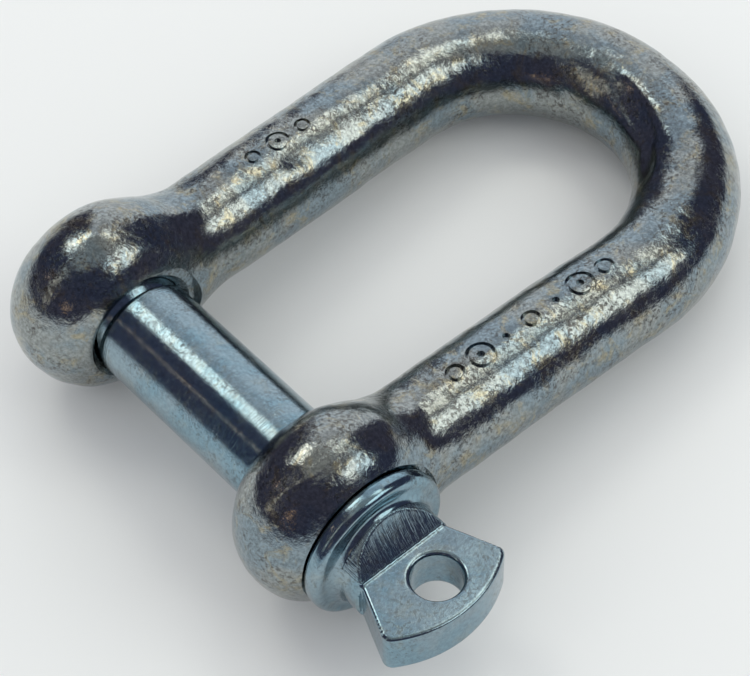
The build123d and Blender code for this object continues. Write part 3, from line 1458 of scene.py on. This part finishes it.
    def head(self, neck_sides: int = 64, eye_sides: int = 48) -> bpy.types.Object:
        """Rough-cuts the head, then settles a fine even mesh on its shape.

        Args:
            neck_sides: Facets round the rough collar and neck.
            eye_sides: Facets round the rough eye.

        Returns:
            The closed head.
        """
        rough = turned("screw_pin_head", [
            (self.collar_face, 0.0), (self.collar_face, self.collar_radius),
            (self.collar_end, self.collar_radius), (self.collar_end, self.neck),
            (self.ramp_end - self.ramp_run, self.neck), (self.ramp_end, self.tab_half),
            (self.ramp_end, 0.0)], neck_sides)
        carve(rough, self.rough_tab(), Carve.JOIN)
        drill = puck("eye_rough", -self.neck, self.neck, self.eye, eye_sides)
        upright = Matrix.Rotation(math.pi / 2, 4, "Y")
        drill.data.transform(Matrix.Translation((self.eye_x, self.eye_y, 0.0)) @ upright)
        carve(rough, drill, Carve.CUT)
        for size in (self.coarse, self.fine, self.fine):
            modifier = rough.modifiers.new("even_mesh", "REMESH")
            modifier.mode = "VOXEL"
            modifier.voxel_size = size
            before = rough.data
            rough.data = evaluated_mesh(rough)
            rough.modifiers.clear()
            bpy.data.meshes.remove(before)
            move_points(rough.data, settle(self.rule, mesh_points(rough.data)))
        return rough

    def build(self, finish: ZincPlate) -> bpy.types.Object:
        """Turns and threads the shank, forges the head on and dresses the pin.

        Args:
            finish: Its finish.

        Returns:
            The finished piece, in metres.
        """
        relief = self.shank - self.thread_crest
        threaded = ramp(self.tip + self.tip_chamfer, -self.shank_start - relief, self.shank_pitch)
        plain = ramp(-self.shank_start, self.collar_face + self.collar_thickness / 2, self.shank_pitch)
        work = turned("screw_pin_blank", [
            (self.tip, 0.0), (self.tip, self.thread_crest - self.tip_chamfer),
            *[(x, self.thread_crest) for x in threaded], *[(x, self.shank) for x in plain],
            (plain[-1], 0.0)], BORE_SIDES)
        thread = ScrewThread(crest=self.thread_crest, root=self.thread_root)
        groove = thread.cutter(
            "pin_die", self.tip - self.groove_past, -self.shank_start + self.groove_past,
            self.groove_stop, self.groove_runout)
        carve(work, groove, Carve.CUT)
        carve(work, self.head(), Carve.JOIN)
        return finished(work, "forged_screw_pin", finish)


def finished(
    work: bpy.types.Object, name: str, finish: ZincPlate, sharp_from: float = 32.0
) -> bpy.types.Object:
    """Scales a bench piece to metres, shades it smooth between its sharp edges and dresses it.

    Args:
        work: The piece, in millimetres.
        name: The finished piece's name.
        finish: Its finish.
        sharp_from: The angle in degrees from which an edge is sharp.

    Returns:
        The finished piece, at the origin.
    """
    heal(work.data)
    work.data.transform(Matrix.Scale(MM, 4))
    work.data.polygons.foreach_set("use_smooth", np.ones(len(work.data.polygons), bool))
    work.data.set_sharp_from_angle(angle=math.radians(sharp_from))
    work.data.materials.clear()
    work.data.materials.append(finish.material())
    work.name = work.data.name = name
    return work


# ---------------------------------------------------------------------------------------------
# The studio
# ---------------------------------------------------------------------------------------------


@dataclass(frozen=True)
class SoftBox:
    """A soft light that shines at the middle of the shackle.

    Attributes:
        name: Name of the light.
        azimuth: Where it stands, in degrees round Z from -Y.
        elevation: Its height above the horizon, in degrees.
        width: Its width, in metres.
        height: Its height, in metres.
        glow: Its radiance, as a share of white.
        colour: Its colour.
        distance: From the middle, in metres.
    """

    name: str
    azimuth: float
    elevation: float
    width: float
    height: float
    glow: float
    colour: tuple[float, float, float]
    distance: float = 0.8


def heading(azimuth: float, elevation: float) -> Vector:
    """The direction from the object towards a place given by its azimuth and elevation in degrees."""
    a, e = math.radians(azimuth), math.radians(elevation)
    return Vector((math.sin(a) * math.cos(e), -math.cos(a) * math.cos(e), math.sin(e)))


@dataclass
class Studio:
    """The camera, the floor that the shackle lies on, and the light.

    Attributes:
        azimuth: The camera's place round the shackle, in degrees.
        elevation: Its height above the horizon, in degrees.
        roll: Its turn about its own axis, in degrees.
        distance: From the point that it looks at, in metres.
        lens: Focal length, in millimetres.
        sensor: Width of the sensor, in millimetres.
        reach: The nearest and farthest distances that it sees, in metres.
        aim: The point that it looks at, in metres.
        paper: The floor's finish.
        reflection_glow: The half dome's glow, a painted reflection of dark surroundings and a pale ceiling.
        dome: Radius of the half dome, in metres.
        air: Colour of the surroundings.
        air_strength: Their strength.
    """

    azimuth: float = 49.757
    elevation: float = 51.652
    roll: float = -1.683
    distance: float = 0.26992
    lens: float = 123.77
    sensor: float = 36.0
    reach: tuple[float, float] = (0.01, 10.0)
    aim: tuple[float, float, float] = (0.005694, 0.017057, 0.0)
    paper: PaleFloor = PaleFloor("pale_paper", (0.84, 0.85, 0.86, 1.0), 0.12, 0.294, 0.3)
    # Painted reflection: dark surroundings at the sides and a pale ceiling that glows on top, seen only in
    # reflections.
    reflection_glow: ReflectionOnlyGlow = ReflectionOnlyGlow("painted_reflection_glow", (0.075, 0.075, 0.115, 1.0), (0.42, 0.42, 0.41, 1.0), 1.40, 1.50)
    dome: float = 1.6
    air: Colour = (0.93, 0.95, 0.97, 1.0)
    air_strength: float = 0.75

    def place_camera(self) -> None:
        """Makes the camera, aims it and gives it to the scene."""
        data = bpy.data.cameras.new("camera")
        data.lens, data.sensor_width = self.lens, self.sensor
        data.clip_start, data.clip_end = self.reach
        camera = bpy.data.objects.new("camera", data)
        bpy.context.scene.collection.objects.link(camera)
        back = heading(self.azimuth, self.elevation)
        right = Vector((math.cos(math.radians(self.azimuth)), math.sin(math.radians(self.azimuth)), 0.0))
        basis = Matrix((right, back.cross(right), back)).transposed().to_4x4()
        turn = Matrix.Rotation(math.radians(self.roll), 4, "Z")
        camera.matrix_world = Matrix.Translation(Vector(self.aim) + back * self.distance) @ basis @ turn
        bpy.context.scene.camera = camera

    def lay_floor(self, body: ForgedBody) -> None:
        """Lays the floor under both ears and the crown, which is the plane that the shackle rests on.

        Args:
            body: The body, for its ears and its crown.
        """
        lean = math.asin((body.ear_radius - body.bar_radius) / body.crown_height)
        mesh = bpy.data.meshes.new("floor")
        work = bmesh.new()
        bmesh.ops.create_circle(work, cap_ends=True, radius=self.paper.edge, segments=96)
        bmesh.ops.rotate(work, verts=work.verts, matrix=Matrix.Rotation(lean, 3, "X"))
        drop = body.ear_radius * MM / math.cos(lean)
        bmesh.ops.translate(work, verts=work.verts, vec=(0.0, 0.0, -drop))
        work.to_mesh(mesh)
        work.free()
        mesh.materials.append(self.paper.material())
        bench_object("floor", mesh)

    def hang_reflection_dome(self, hem: float = 0.01) -> None:
        """Hangs a glowing half dome over the shackle that only reflections see, a painted reflection of dark
        surroundings and a pale ceiling.

        Args:
            hem: How far it may hang below the horizon, in metres.
        """
        mesh = bpy.data.meshes.new("reflection_only_dome")
        work = bmesh.new()
        bmesh.ops.create_uvsphere(work, u_segments=48, v_segments=32, radius=self.dome)
        low = [vertex for vertex in work.verts if vertex.co.z < -hem]
        bmesh.ops.delete(work, geom=low, context="VERTS")
        work.to_mesh(mesh)
        work.free()
        mesh.materials.append(self.reflection_glow.material())
        glow_dome = bench_object("reflection_only_dome", mesh)
        # Hidden from camera, diffuse light and shadows: the dome only paints reflections of dark surroundings
        # and a pale ceiling.
        glow_dome.visible_camera = glow_dome.visible_diffuse = glow_dome.visible_shadow = False
        glow_dome.visible_transmission = glow_dome.visible_volume_scatter = False

    def light(self, boxes: Sequence[SoftBox]) -> None:
        """Hangs the lights and sets the pale surroundings.

        Args:
            boxes: The soft boxes.
        """
        middle = Vector(self.aim)
        for box in boxes:
            data = bpy.data.lights.new(box.name, "AREA")
            data.shape, data.size, data.size_y = "RECTANGLE", box.width, box.height
            data.energy, data.color = box.glow * math.pi * box.width * box.height, box.colour
            lamp = bpy.data.objects.new(box.name, data)
            bpy.context.scene.collection.objects.link(lamp)
            away = heading(box.azimuth, box.elevation)
            turn = away.to_track_quat("Z", "Y").to_matrix().to_4x4()
            lamp.matrix_world = Matrix.Translation(middle + away * box.distance) @ turn
            lamp.visible_camera = False
        world = bpy.data.worlds.new("studio_air")
        world.use_nodes = True
        background = world.node_tree.nodes["Background"]
        background.inputs["Color"].default_value = self.air
        background.inputs["Strength"].default_value = self.air_strength
        bpy.context.scene.world = world
        bpy.context.scene.view_settings.view_transform = "Standard"


BODY_FINISH = ZincPlate("forged_bright_zinc")
PIN_FINISH = ZincPlate(
    "turned_bright_zinc", zinc=(0.27, 0.36, 0.41, 1.0), blue=(0.22, 0.34, 0.41, 1.0), roughness=0.12,
    grain=0.010, dapple=0.008, swell=0.015, pits=0.003, straw_share=0.2, mottle=0.12, stained=0.45,
    tool_marks=(
        ToolMarks(26.5, 29.3, 2.68, 6.2, (3.0, 0.16, 3.0), 0.11),
        ToolMarks(-11.3, 23.4, 0.0, 5.9, (0.16, 1.6, 1.6), 0.022),
    ))

ROWS = (
    PunchRow((Mark.RING, Mark.TARGET, Mark.RING), -18.2, 20.8, 3.5, 3.2, 0.36, 0.30),
    PunchRow(
        (Mark.RING, Mark.TARGET, Mark.DOT, Mark.RING, Mark.DOT, Mark.TARGET, Mark.RING),
        18.15, 17.0, 3.5, 3.8, 0.42, 0.34),
)

LIGHTS = (
    SoftBox("right_box", 122.0, 46.0, 0.46, 0.38, 2.1, (0.97, 1.0, 0.92)),
    SoftBox("back_panel", 224.0, 22.0, 0.62, 0.66, 0.90, (0.97, 1.0, 1.0)),
    SoftBox("back_top", 228.0, 56.0, 0.49, 0.33, 0.55, (0.97, 1.0, 1.0)),
    SoftBox("back_strip", 190.0, 64.0, 0.40, 0.16, 1.9, (1.0, 0.98, 0.84)),
    SoftBox("left_box", 277.0, 56.0, 0.28, 0.22, 3.0, (1.0, 0.98, 0.86)),
    SoftBox("front_strip", 346.0, 34.0, 0.13, 0.65, 0.7, (1.0, 0.92, 0.72)),
    SoftBox("small_lamp", 324.0, 35.0, 0.035, 0.035, 4.0, (1.0, 0.66, 0.42)),
    SoftBox("warm_lamp", 25.0, 20.0, 0.12, 0.08, 0.9, (1.0, 0.62, 0.35)),
)


def main() -> None:
    """Builds the studio, the body and the pin, in that order."""
    logging.basicConfig(level=logging.INFO, format="%(name)s: %(message)s")
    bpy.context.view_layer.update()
    body, pin = ForgedBody(), ScrewPin()
    studio = Studio()
    studio.place_camera()
    studio.lay_floor(body)
    # A glowing dome that paints reflections of dark surroundings and a pale ceiling.
    studio.hang_reflection_dome()
    studio.light(LIGHTS)
    log.info("studio ready")
    for made, node, part, slot in (
        (body.build(BODY_FINISH, ROWS), "shackle_body", "bow", "body_zinc"),
        (pin.build(PIN_FINISH), "screw_pin", "pin", "pin_zinc"),
    ):
        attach(made, part)
        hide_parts(node)
        log.info("%s: %d faces", made.name, len(made.data.polygons))


if __name__ == "__main__":
    main()
